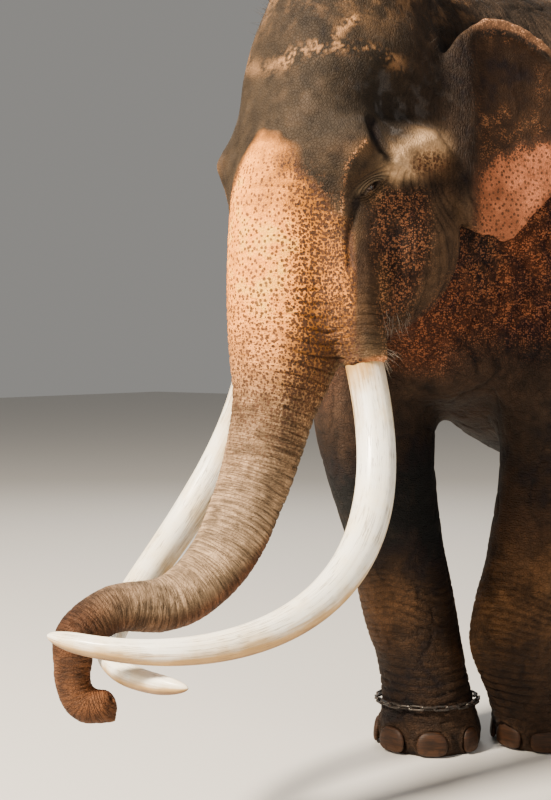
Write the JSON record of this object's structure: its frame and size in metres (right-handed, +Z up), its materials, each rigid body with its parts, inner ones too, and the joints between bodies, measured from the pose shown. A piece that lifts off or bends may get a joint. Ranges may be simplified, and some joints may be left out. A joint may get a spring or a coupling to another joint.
{
  "type": "elephant",
  "caption": "Standing Asian bull elephant as a life-size still model, with very long crossed tusks, a curled trunk and a chain round the right fore ankle.",
  "frame": {"origin": "on the floor, at the middle of the model's box", "axes": "-Y is the way the animal faces, +X is its left, +Z is up"},
  "size_m": [1.4309, 4.7962, 3.1127],
  "materials": {
    "hide": "dry wrinkled hide, dark grey-brown",
    "pink_hide": "dry wrinkled hide, pink where it has lost its colour, with dark freckles",
    "ivory": "worn cream ivory, brown-stained at the root and underneath",
    "nail_horn": "dusty worn horn",
    "eye": "wet dark brown",
    "tail_hair": "coarse black bristles",
    "chain_steel": "dark worn iron"
  },
  "bodies": {
    "root": {"head": "pink_hide", "lower_jaw": "hide", "neck": "hide", "thorax": "hide", "abdomen": "hide", "trunk_base": "pink_hide", "trunk_upper": "pink_hide", "trunk_middle": "pink_hide", "trunk_lower": "pink_hide", "trunk_tip": "pink_hide", "ear_left": "pink_hide", "ear_right": "pink_hide", "foreleg_left_upper": "hide", "foreleg_left_lower": "hide", "forefoot_left": "hide", "foreleg_right_upper": "hide", "foreleg_right_lower": "hide", "forefoot_right": "hide", "hindleg_left_upper": "hide", "hindleg_left_lower": "hide", "hindfoot_left": "hide", "hindleg_right_upper": "hide", "hindleg_right_lower": "hide", "hindfoot_right": "hide", "tail": "hide", "tail_brush": "tail_hair", "tusk_left": "ivory", "tusk_right": "ivory", "eye_left": "eye", "eye_right": "eye", "nail_forefoot_left_1": "nail_horn", "nail_forefoot_left_2": "nail_horn", "nail_forefoot_left_3": "nail_horn", "nail_forefoot_left_4": "nail_horn", "nail_forefoot_left_5": "nail_horn", "nail_forefoot_right_1": "nail_horn", "nail_forefoot_right_2": "nail_horn", "nail_forefoot_right_3": "nail_horn", "nail_forefoot_right_4": "nail_horn", "nail_forefoot_right_5": "nail_horn", "nail_hindfoot_left_1": "nail_horn", "nail_hindfoot_left_2": "nail_horn", "nail_hindfoot_left_3": "nail_horn", "nail_hindfoot_left_4": "nail_horn", "nail_hindfoot_right_1": "nail_horn", "nail_hindfoot_right_2": "nail_horn", "nail_hindfoot_right_3": "nail_horn", "nail_hindfoot_right_4": "nail_horn", "ankle_chain": "chain_steel"}
  },
  "joints": []
}
